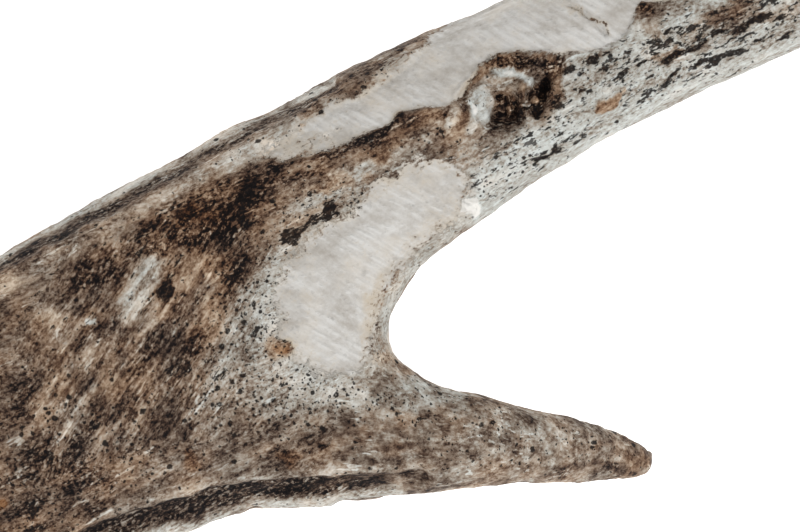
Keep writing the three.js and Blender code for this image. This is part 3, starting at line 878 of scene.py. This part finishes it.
class Weathering:
    """Growth, mice, dirt, weather and painted light on the skin: a rise and its values at each
    point.
    """

    def __init__(self, points: np.ndarray, normals: np.ndarray, bulge: np.ndarray) -> None:
        """Works out the rise, in millimetres, and the values.

        Args:
            points: the skin's points, in millimetres of the finished frame.
            normals: the skin's outward directions at them.
            bulge: how far they stand out from what is round them, in millimetres.
        """
        self.points = points
        self.bulge = bulge
        self.coarse = ripple(points, 5.0, 3, 3.0)
        self.up = ease(normals[:, 2], 0.02, 0.3)
        self.side = ease(normals[:, 2], -0.05, 0.1)
        self.flank = ease(normals[:, 2] + 0.5 * np.maximum(self.coarse, -0.2), -0.6, -0.12)
        self.fine = ripple(points, 1.4, 3, 11.0)
        self.gritty = ripple(points, 0.7, 2, 17.0)
        self.grain = ripple(points * np.array([0.25, 1.0, 1.0]), 1.6, 3, 23.0)
        flat = turned(points[:, :2], math.radians(STREAK_TURN))
        streaky = np.column_stack([flat, points[:, 2]])
        self.streaks = ripple(streaky * np.array([0.16, 1.0, 0.6]), 1.5, 2, 31.0)
        self.ribs = ripple(points * np.array([0.12, 1.0, 1.0]), 3.4, 3, 59.0)
        self.knobs = ripple(points, 3.6, 2, 61.0)
        self.chart = row_to_chart(points)
        x, y = self.chart.T
        outside = np.maximum.reduce([-x, x - CHART_SIZE[0], -y, y - CHART_SIZE[1]])
        self.beyond = np.maximum(ease(outside, 0, 60), 1 - ease(normals[:, 2], -0.25, 0.05))
        self.foot = 1 - ease(points[:, 0], *FOOT_ENDS)
        wander = np.column_stack([ripple(points, 1.9, 4, 41.0), ripple(points, 1.9, 4, 47.0)])
        shy = 1 - ease(normals[:, 2], 0.0, 0.35)
        self.loose = self.chart + 9.0 * wander
        self.firm = self.chart + 2.5 * wander
        self.upper = UPPER_GNAW.cover(self.firm) * self.side
        self.lower = LOWER_GNAW.cover(self.loose) * self.side
        ragged = self.chart + (2.5 + 14.0 * np.maximum(shy, self.beyond))[:, None] * wander
        self.bare = np.maximum(
            UPPER_GNAW.cover(ragged, 3.0) * self.flank,
            LOWER_GNAW.cover(self.loose, 2.4) * self.flank,
        )
        self.sore = SORE.cover(self.firm) * self.up
        self.streaked = STREAKED.cover(self.chart) * self.up
        dashes = [Mark(*d, ink=0.8, tone=-0.2, rise=-0.14, soft=0.6) for d in INK_DASHES]
        self.marks = []
        for marks, shaken in (
            (BARK_MARKS + AREAS, self.loose),
            (SORE_MARKS, self.chart + 4.5 * wander),
            (SORE_RIBS, self.firm),
            (dashes, self.chart + 6.0 * wander),
        ):
            self.marks += [(m, m.cover(shaken) * self.up) for m in marks]
        self.rise = self.relief()
        self.values = self.stains_and_painted_light()

    def summed(self, kind: str) -> np.ndarray:
        """All the marks' amounts of one kind, added up."""
        return sum((getattr(m, kind) * c for m, c in self.marks if getattr(m, kind)), 0.0)

    def relief(self) -> np.ndarray:
        """How far each point stands out from the grown shape, in millimetres."""
        gnawed = np.maximum(self.upper, self.lower)
        bark = 1 - gnawed
        rise = bark * (0.10 * self.coarse + 0.09 * self.fine + 0.10 * self.grain)
        from_tip = np.linalg.norm(self.chart - FRONT_TIP, axis=1)
        rise *= 0.25 + 0.75 * ease(from_tip, 12, 50)  # the tip is worn smoother
        rise += bark * self.streaked * 0.18 * self.streaks
        rise += UPPER_GNAW.rise * self.upper + LOWER_GNAW.rise * self.lower
        rise += gnawed * 0.05 * self.coarse
        rise += self.sore * (SORE.rise + 0.35 * self.gritty + 0.15 * self.fine)
        for line in GROOVES + RIDGES:
            rise += line.rise * line.cover(self.firm) * self.side
        for line in RIMS:
            rise += line.rise * line.cover(self.chart) * self.flank
        hidden = bark * self.beyond * (1 - TINE_AREA.cover(self.chart))
        rise += hidden * (0.5 * self.ribs + 0.15 * self.coarse)
        rise += self.foot * 1.1 * self.knobs
        return rise + self.summed("rise")

    def stains_and_painted_light(self) -> dict[Skin, np.ndarray]:
        """The values for the material, from 0 to 1 or a little past it: stains and painted light."""
        x = self.points[:, 0]
        brown = BROWN_AREA.cover(self.loose)
        seal = 1 - ease(x, *SEAL_ENDS)
        tone = 0.50 - 0.05 * brown + 0.3 * seal
        tone = tone - 0.05 * (1 - ease(x, -75, -25)) + 0.3 * ease(x, 62, 90)
        tone = tone + self.summed("tone") + 0.12 * self.sore * self.gritty
        paling = LOWER_GNAW.near(self.loose, PALING_REACH)
        paling = paling * (1 - ease(self.chart[:, 0], *PALING_ENDS))
        tone = tone + 0.22 * paling * paling * self.side
        worn = np.clip(0.5 * (self.bulge - 0.14), -0.24, 0.3)
        tone = tone + self.beyond * (0.35 * self.ribs + worn)
        warm = -0.25 + 0.4 * brown + 0.5 * self.coarse + self.summed("warm")
        ink = self.summed("ink")
        healthy = self.flank * (1 - self.sore)
        for lighter, cooler in zip(TONE_PATCHES, PATCH_WARMTHS):
            share = lighter.cover(self.loose) * healthy
            tone, warm = tone + lighter.rise * share, warm + cooler * share
        # the tone lines, which hold painted highlights on ridges and rims
        for line in TONE_LINES:
            tone = tone + line.rise * line.cover(self.firm) * self.side
        for line in DARK_LINES:
            fading = 1 - ease(self.chart[:, 0] + 30 * self.fine, *GRIME_ENDS)
            grime = line.rise * line.cover(self.firm) * self.side * fading
            grime = grime * (0.9 + 0.5 * self.grain)
            ink, warm, tone = ink + 0.5 * grime, warm - 2.0 * grime, tone - 0.5 * grime
        return {
            Skin.TONE: tone,
            Skin.WARM: np.clip(0.5 + 0.5 * warm, 0, 1.6),
            Skin.SPECK: np.clip(0.12 + 0.6 * seal + self.summed("speck"), 0, 1),
            Skin.DASH: np.clip(0.15 + self.summed("dash"), 0, 1),
            Skin.GNAW: np.clip(self.bare + self.summed("gnaw"), 0, 1),
            Skin.INK: np.clip(ink, 0, 1.3),
            Skin.STREAK: self.streaked,
            Skin.TINE: TINE_AREA.cover(self.chart),
        }


class Nodes:
    """A short way to build a tree of shader nodes."""

    def __init__(self, tree: bpy.types.NodeTree) -> None:
        """Builds into tree."""
        self.tree = tree

    def add(self, kind: str, **settings: object) -> bpy.types.Node:
        """A new node of a kind, with some of its properties set."""
        node = self.tree.nodes.new("ShaderNode" + kind)
        for name, value in settings.items():
            setattr(node, name, value)
        return node

    def link(self, value: object, socket: bpy.types.NodeSocket) -> None:
        """Feeds a socket from another socket, or sets it to a number, a colour or a vector."""
        if isinstance(value, bpy.types.NodeSocket):
            self.tree.links.new(value, socket)
        else:
            socket.default_value = value

    def fed(self, node: bpy.types.Node, *values: object) -> bpy.types.Node:
        """A node with values fed to its first inputs."""
        for value, socket in zip(values, node.inputs):
            self.link(value, socket)
        return node

    def math(self, operation: str, *values: object, clamp: bool = False) -> object:
        """The result of a sum on one to three values."""
        return self.fed(self.add("Math", operation=operation, use_clamp=clamp), *values).outputs[0]

    def plus(self, *values: object) -> object:
        """Values added up."""
        total = values[0]
        for value in values[1:]:
            total = self.math("ADD", total, value)
        return total

    def less(self, a: object, b: object) -> object:
        """The first value less the second."""
        return self.math("SUBTRACT", a, b)

    def times(self, a: object, b: object) -> object:
        """Two values multiplied."""
        return self.math("MULTIPLY", a, b)

    def swing(self, value: object, amount: object) -> object:
        """Noise from 0 to 1 as a swing about 0 that is as wide as amount."""
        return self.times(self.less(value, 0.5), amount)

    def ramp(self, value: object, low: float, high: float, to: tuple = (0.0, 1.0)) -> object:
        """A value eased from the range low to high into another range."""
        node = self.add("MapRange", interpolation_type="SMOOTHSTEP")
        return self.fed(node, value, low, high, *to).outputs["Result"]

    def mix(self, share: object, a: object, b: object, blend: str = "MIX") -> object:
        """A colour between two colours, or blended from them in another way."""
        node = self.add("Mix", data_type="RGBA", blend_type=blend)
        for value, i in ((share, 0), (a, 6), (b, 7)):
            self.link(value, node.inputs[i])
        return node.outputs[2]

    def group(self, tree: bpy.types.NodeTree, *values: object) -> object:
        """The output of a node group fed with values."""
        return self.fed(self.add("Group", node_tree=tree), *values).outputs[0]

    def texture(
        self, kind: str, vector: object, numbers: dict[str, float], **settings: object
    ) -> bpy.types.Node:
        """A texture node on a vector, with some of its inputs and properties set."""
        node = self.add("Tex" + kind, **settings)
        self.link(vector, node.inputs["Vector"])
        for name, number in numbers.items():
            node.inputs[name].default_value = number
        return node

    def noise(self, vector: object, scale: float, detail: float, roughness: float) -> object:
        """Smooth noise between 0 and 1."""
        numbers = {"Scale": scale, "Detail": detail, "Roughness": roughness}
        return self.texture("Noise", vector, numbers).outputs["Fac"]

    def mapping(
        self, vector: object, turn: float, scale: tuple = (1.0, 1.0, 1.0), shift: float = 0.0
    ) -> object:
        """A vector turned about Z, then scaled, so that a pattern stretches along a direction."""
        turning, scaling = self.add("Mapping"), self.add("Mapping")
        self.link(vector, turning.inputs["Vector"])
        turning.inputs["Rotation"].default_value = (0, 0, math.radians(turn))
        turning.inputs["Location"].default_value = (shift, shift, shift)
        self.link(turning.outputs[0], scaling.inputs["Vector"])
        scaling.inputs["Scale"].default_value = scale
        return scaling.outputs[0]

    def warped(self, vector: object, reach: float, scale: float) -> object:
        """A vector shaken by noise, so that what reads it has ragged edges."""
        shake = self.texture("Noise", vector, {"Scale": scale, "Detail": 2.0}).outputs["Color"]
        centred = self.fed(self.add("VectorMath", operation="SUBTRACT"), shake, (0.5, 0.5, 0.5))
        scaled = self.add("VectorMath", operation="SCALE")
        self.link(centred.outputs[0], scaled.inputs[0])
        self.link(reach, scaled.inputs["Scale"])
        moved = self.fed(self.add("VectorMath", operation="ADD"), vector, scaled.outputs[0])
        return moved.outputs[0]


def new_group(name: str, output: tuple[str, str], **inputs: str) -> tuple:
    """A shader node group with its own sockets.

    Args:
        name: the group's name.
        output: its output's name and kind of socket.
        inputs: each input's kind of socket.

    Returns:
        The group, a builder for it, its inputs by name and the socket that its output reads.
    """
    tree = bpy.data.node_groups.new(name, "ShaderNodeTree")
    for label, kind in inputs.items():
        tree.interface.new_socket(label, in_out="INPUT", socket_type="NodeSocket" + kind)
    tree.interface.new_socket(output[0], in_out="OUTPUT", socket_type="NodeSocket" + output[1])
    given, result = (tree.nodes.new("NodeGroup" + end) for end in ("Input", "Output"))
    return tree, Nodes(tree), given.outputs, result.inputs[0]


def pits_group() -> bpy.types.NodeTree:
    """Small dark pits: Vector in millimetres, how many from 0 to 1, and a mask out."""
    tree, n, given, result = new_group("pits", ("Mask", "Float"), Vector="Vector", Amount="Float")
    vector = n.warped(given["Vector"], 0.42, 2.6)
    mask = 0.0
    for scale, small, large in ((0.95, 0.08, 0.34), (1.9, 0.12, 0.40), (3.0, 0.16, 0.42)):
        cells = n.texture("Voronoi", vector, {"Scale": scale}, feature="F1")
        picked = n.fed(n.add("SeparateColor"), cells.outputs["Color"])
        there = n.math("LESS_THAN", picked.outputs[0], n.times(given["Amount"], 0.8))
        radius = n.ramp(picked.outputs[1], 0.0, 1.0, (small, large))
        near = n.less(1.0, n.math("DIVIDE", cells.outputs["Distance"], radius))
        mask = n.math("MAXIMUM", mask, n.times(there, n.ramp(near, 0.0, 0.35)))
    n.link(mask, result)
    return tree


def dashes_group() -> bpy.types.NodeTree:
    """Dark dashes: Vector along the grain in X, how many from 0 to 1, and a mask out."""
    tree, n, given, result = new_group("dashes", ("Mask", "Float"), Vector="Vector", Amount="Float")
    along = n.mapping(given["Vector"], 0, shift=5.0)
    level = n.plus(n.times(n.noise(along, 1.15, 5.0, 0.66), 0.55),
                   n.times(n.noise(along, 3.2, 3.0, 0.6), 0.45))
    edge = n.less(0.66, n.times(given["Amount"], 0.17))
    thick = n.ramp(n.less(level, edge), 0.0, 0.025)
    thin = n.noise(n.mapping(given["Vector"], 0, (0.7, 1.0, 1.0), 13.0), 4.4, 2.0, 0.5)
    edge = n.less(0.75, n.times(given["Amount"], 0.18))
    thin = n.ramp(n.less(thin, edge), 0.0, 0.03, (0.0, 0.8))
    n.link(n.math("MAXIMUM", thick, thin), result)
    return tree


def fibres_group() -> bpy.types.NodeTree:
    """Thin pale fibres: Vector along the grain in X, and a mask out."""
    tree, n, given, result = new_group("fibres", ("Mask", "Float"), Vector="Vector")
    thin = n.noise(n.mapping(given["Vector"], 0, (0.25, 1.0, 1.0), 3.0), 2.4, 2.0, 0.5)
    broken = n.noise(given["Vector"], 0.5, 2.0, 0.5)
    n.link(n.times(n.ramp(thin, 0.60, 0.66), n.ramp(broken, 0.5, 0.58)), result)
    return tree


def grain_group() -> bpy.types.NodeTree:
    """The direction of the grain: Vector in millimetres turned and stretched along it."""
    tree, n, given, result = new_group(
        "grain", ("Along", "Vector"), Vector="Vector", Tine="Float", Streak="Float"
    )
    vector = given["Vector"]
    stretch = (0.45, 1.0, 1.0)
    rag = n.swing(n.noise(vector, 0.5, 4.0, 0.6), 2.5)
    along = n.mapping(vector, 0, stretch)
    for name, turn in (("Tine", TINE_TURN), ("Streak", STREAK_TURN)):
        choice = n.add("Mix", data_type="VECTOR")
        n.link(n.math("GREATER_THAN", n.plus(given[name], rag), 0.5), choice.inputs[0])
        n.link(along, choice.inputs[4])
        n.link(n.mapping(vector, turn, stretch), choice.inputs[5])
        along = choice.outputs[1]
    n.link(along, result)
    return tree


class Patterns:
    """The skin's own values and the patterns that several parts of its material read."""

    def __init__(self, n: Nodes) -> None:
        """Makes their nodes with a builder."""
        place = n.add("TexCoord").outputs["Object"]
        self.mm = mm = n.mapping(place, 0, (1 / MM, 1 / MM, 1 / MM))
        self.value = {
            kind: n.add("Attribute", attribute_name=kind.value).outputs["Fac"] for kind in Skin
        }
        value = self.value
        self.along = n.group(grain_group(), mm, value[Skin.TINE], value[Skin.STREAK])
        self.fine = n.noise(self.along, 2.5, 4.0, 0.7)
        self.medium = n.noise(n.mapping(self.along, 0, (0.55, 1.0, 1.0)), 0.75, 4.0, 0.6)
        self.flecks = n.noise(n.mapping(self.along, 0, (1.4, 1.0, 1.0), 21.0), 3.4, 3.0, 0.65)
        self.grit = n.noise(mm, 3.0, 3.0, 0.68)
        self.broad = n.noise(mm, 0.3, 3.0, 0.55)
        self.pits = n.group(pits_group(), mm, value[Skin.SPECK])
        self.grooves = n.noise(n.mapping(mm, GNAW_TURN, (0.16, 1.0, 1.0), 9.0), 1.5, 3.0, 0.6)
        self.clouds = n.noise(n.mapping(mm, 20, (0.4, 1.0, 1.0), 4.0), 0.5, 5.0, 0.6)
        ripples = n.texture(
            "Wave", n.mapping(mm, RIPPLE_TURN),
            {"Scale": 0.42, "Distortion": 2.5, "Detail": 2.0, "Detail Scale": 0.6,
             "Detail Roughness": 0.5},
            wave_type="BANDS", bands_direction="X",
        )
        self.ripples = n.times(ripples.outputs["Fac"], n.ramp(self.clouds, 0.62, 0.4))
        self.ragged = n.plus(value[Skin.GNAW], n.swing(self.fine, 1.2), n.swing(self.grit, 1.2))
        self.bare = n.ramp(self.ragged, 0.36, 0.64)


@dataclass(frozen=True)
class AntlerFinish:
    """Weathered antler: mottled bark, pits, dashes and streaks, and pale gnawed bone."""

    ramp: tuple = (
        (0.00, srgb(18, 14, 15)),
        (0.16, srgb(46, 35, 31)),
        (0.34, srgb(90, 71, 60)),
        (0.52, srgb(133, 115, 101)),
        (0.70, srgb(171, 159, 147)),
        (0.86, srgb(198, 191, 183)),
        (1.00, srgb(219, 215, 209)),
    )
    cool_tint: tuple = srgb(237, 246, 249)
    warm_tint: tuple = srgb(253, 235, 214)
    pale_tint: tuple = srgb(246, 244, 242)
    rust_tint: tuple = srgb(234, 192, 152)
    gnawed_light: tuple = srgb(203, 201, 197)
    gnawed_dull: tuple = srgb(164, 158, 150)
    gnawed_tan: tuple = srgb(184, 170, 150)
    chip: tuple = srgb(232, 229, 223)
    ink: tuple = srgb(22, 20, 21)
    ink_brown: tuple = srgb(46, 34, 27)
    bark_roughness: float = 0.75
    gnawed_roughness: float = 0.6
    shine: float = 0.12

    def build(self) -> bpy.types.Material:
        """The material, on Object coordinates and the skin's own values."""
        material = bpy.data.materials.new("weathered_antler")
        material.use_nodes = True
        material.node_tree.nodes.clear()
        n = Nodes(material.node_tree)
        p = Patterns(n)
        tone = p.value[Skin.TONE]
        edge = n.times(n.ramp(p.ragged, 0.1, 0.4), n.ramp(tone, 0.45, 0.58, (0.3, 0.0)))
        bark = n.mix(edge, self.spotted(n, p, self.bark(n, p)), self.ink_brown)
        colour = n.mix(p.bare, bark, self.gnawed(n, p))
        shader = n.add("BsdfPrincipled")
        shader.inputs["Specular IOR Level"].default_value = self.shine
        roughness = n.ramp(p.bare, 0.0, 1.0, (self.bark_roughness, self.gnawed_roughness))
        for name, value in (
            ("Base Color", n.mix(n.ramp(tone, 0.92, 1.08), colour, self.chip)),
            ("Roughness", roughness),
            ("Normal", self.normal(n, p)),
        ):
            n.link(value, shader.inputs[name])
        n.link(shader.outputs[0], n.add("OutputMaterial").inputs[0])
        return material

    @staticmethod
    def lightness(n: Nodes, p: Patterns) -> object:
        """How light the bark is: the skin's own tone, painted highlights included, and all the
        noises over it.
        """
        tone = own = p.value[Skin.TONE]
        tine = p.value[Skin.TINE]
        even = n.ramp(own, 0.66, 0.82, (1.0, 0.65))
        for pattern, amount in ((p.fine, 0.75), (p.medium, 1.0), (p.grit, 0.65), (p.broad, 0.6)):
            tone = n.plus(tone, n.times(n.swing(pattern, amount), even))
        blotches = n.noise(p.mm, 0.85, 3.0, 0.6)
        lines = n.noise(n.mapping(p.mm, STREAK_TURN, (0.13, 1.0, 1.0), 31.0), 1.7, 4.0, 0.62)
        tone = n.plus(
            tone, n.swing(blotches, n.times(tine, 0.9)), n.swing(lines, p.value[Skin.STREAK])
        )
        crisp = n.less(n.ramp(p.flecks, 0.47, 0.4, (0.0, 0.16)),
                       n.ramp(p.flecks, 0.53, 0.6, (0.0, 0.22)))
        crisp = n.times(crisp, n.ramp(own, 0.22, 0.45, (2.1, 0.7)))
        patchy = n.less(n.ramp(p.medium, 0.6, 0.42, (0.5, 1.2)), n.times(tine, 0.5))
        fibres = n.group(fibres_group(), p.along)
        return n.plus(tone, n.times(crisp, patchy), n.times(fibres, 0.3))

    def bark(self, n: Nodes, p: Patterns) -> object:
        """The bark's colour without its pits and dashes."""
        tone, warm = self.lightness(n, p), p.value[Skin.WARM]
        colours = n.fed(n.add("ValToRGB"), tone)
        stops = colours.color_ramp.elements
        while len(stops) < len(self.ramp):
            stops.new(0.5)
        for stop, (position, colour) in zip(stops, self.ramp):
            stop.position = position
            stop.color = colour
        leaning = n.plus(warm, n.swing(p.broad, 1.6), n.swing(p.medium, 1.2))
        paling = n.times(n.ramp(tone, 0.5, 0.85, (0.0, 0.6)), n.ramp(warm, 0.4, 0.65, (1.0, 0.2)))
        yellow = n.mix(paling, self.warm_tint, self.pale_tint)
        tint = n.mix(n.ramp(leaning, 0.0, 1.0), self.cool_tint, yellow)
        tint = n.mix(n.ramp(warm, 1.0, 1.3), tint, self.rust_tint)
        return n.mix(1.0, colours.outputs[0], tint, "MULTIPLY")

    def spotted(self, n: Nodes, p: Patterns, bark: object) -> object:
        """The bark's colour with its pits and dashes, which are black or brown."""
        many = n.plus(p.value[Skin.DASH], n.times(p.value[Skin.INK], 1.2))
        dark = n.math("MAXIMUM", p.pits, n.group(dashes_group(), p.along, many))
        black = n.mix(n.ramp(p.grit, 0.5, 0.62), self.ink, self.ink_brown)
        return n.mix(n.times(dark, n.ramp(p.flecks, 0.42, 0.36, (0.95, 0.6))), bark, black)

    def gnawed(self, n: Nodes, p: Patterns) -> object:
        """The gnawed bone's colour: light and dull along the tooth marks, tan near its border."""
        dull = n.plus(
            n.swing(p.clouds, 1.8), n.swing(p.grooves, 1.2), n.times(p.ripples, -0.4),
            n.swing(p.grit, 0.8), n.swing(p.broad, 1.8),
        )
        soiled = n.plus(n.ramp(p.ragged, 0.5, 1.0, (0.4, 0.0)), n.swing(p.broad, -1.6))
        soiled = n.math("ADD", soiled, n.less(p.value[Skin.WARM], 0.35), clamp=True)
        bone = n.mix(n.math("ADD", 0.42, dull, clamp=True), self.gnawed_light, self.gnawed_dull)
        bone = n.mix(soiled, bone, self.gnawed_tan)
        return n.mix(n.times(p.pits, 0.12), bone, self.ink)

    @staticmethod
    def normal(n: Nodes, p: Patterns) -> object:
        """The skin's direction over its finest relief, which is given in millimetres."""
        bark = n.plus(n.times(p.fine, 0.22), n.times(p.grit, 0.12))
        bone = n.plus(n.times(p.grooves, 0.07), n.times(p.grit, 0.06), n.times(p.ripples, 0.12))
        height = n.fed(n.add("Mix", data_type="FLOAT"), p.bare)
        n.link(bark, height.inputs[2])
        n.link(bone, height.inputs[3])
        bump = n.add("Bump")
        bump.inputs["Strength"].default_value = 1.0
        bump.inputs["Distance"].default_value = MM
        n.link(height.outputs[0], bump.inputs["Height"])
        return bump.outputs[0]


@dataclass(frozen=True)
class Studio:
    """A white table, soft light all round, and a camera straight above the front fork."""

    table_reach: float = 2.0
    table_grey: float = 0.92
    table_roughness: float = 0.9
    table_glow: float = 0.75
    view_width: float = 0.072
    view_end: float = 20.0
    sensor: float = 36.0
    key_side: tuple[float, float] = (0.175, -0.225)
    key_height: float = 0.55
    key_aim: float = 0.01
    key_size: float = 0.5
    key_power: float = 2.0
    sky: float = 0.7

    def build(self) -> None:
        """Makes the floor, the lights and the camera."""
        self.floor()
        self.lights()
        self.camera()

    def floor(self) -> None:
        """A plain white surface that the antler lies on."""
        bm = bmesh.new()
        bmesh.ops.create_grid(bm, x_segments=4, y_segments=4, size=self.table_reach)
        mesh = bpy.data.meshes.new("table_top")
        bm.to_mesh(mesh)
        bm.free()
        top = bpy.data.objects.new("table_top", mesh)
        bpy.context.scene.collection.objects.link(top)
        material = bpy.data.materials.new("white_table")
        material.use_nodes = True
        shader = material.node_tree.nodes["Principled BSDF"]
        shader.inputs["Base Color"].default_value = (*[self.table_grey] * 3, 1.0)
        shader.inputs["Roughness"].default_value = self.table_roughness
        shader.inputs["Emission Color"].default_value = WHITE
        shader.inputs["Emission Strength"].default_value = self.table_glow
        mesh.materials.append(material)

    def lights(self) -> None:
        """A broad lamp above and to the chart's lower right, in an even white room."""
        world = bpy.data.worlds.new("room")
        bpy.context.scene.world = world
        world.use_nodes = True
        room = world.node_tree.nodes["Background"]
        room.inputs["Color"].default_value = WHITE
        room.inputs["Strength"].default_value = self.sky
        lamp = bpy.data.lights.new("key", "AREA")
        lamp.shape = "DISK"
        lamp.size = self.key_size
        lamp.energy = self.key_power
        key = bpy.data.objects.new("key", lamp)
        aim = Vector((0.0, 0.0, self.key_aim))
        key.location = (*turned(np.array([self.key_side]), -BEAM_LEAN)[0], self.key_height)
        key.rotation_euler = (aim - key.location).to_track_quat("-Z", "Y").to_euler()
        bpy.context.scene.collection.objects.link(key)

    def camera(self) -> None:
        """Looks straight down on the middle of the chart, with the chart's x to the right."""
        data = bpy.data.cameras.new("camera")
        data.sensor_width = self.sensor
        reach = (CAMERA_HEIGHT - EDGE_HEIGHT) * MM
        data.lens = self.sensor * reach / self.view_width
        data.clip_end = self.view_end
        camera = bpy.data.objects.new("camera", data)
        x, y = chart_to_row(CHART_SIZE[0] / 2, CHART_SIZE[1] / 2) * MM
        camera.location = (x, y, CAMERA_HEIGHT * MM)
        camera.rotation_euler = (0.0, 0.0, -BEAM_LEAN)
        bpy.context.scene.collection.objects.link(camera)
        bpy.context.scene.camera = camera
        bpy.context.scene.view_settings.view_transform = "Standard"


def main() -> None:
    """Builds the studio, then the antler."""
    logging.basicConfig(level=logging.INFO, format="%(name)s %(message)s")
    Studio().build()
    antler = Antler().build()
    antler.data.materials.clear()
    antler.data.materials.append(AntlerFinish().build())
    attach(antler, "root")
    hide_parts("lower_beam", "front_tine", "upper_beam", "rear_tine", "top_tine")


if __name__ == "__main__":
    main()
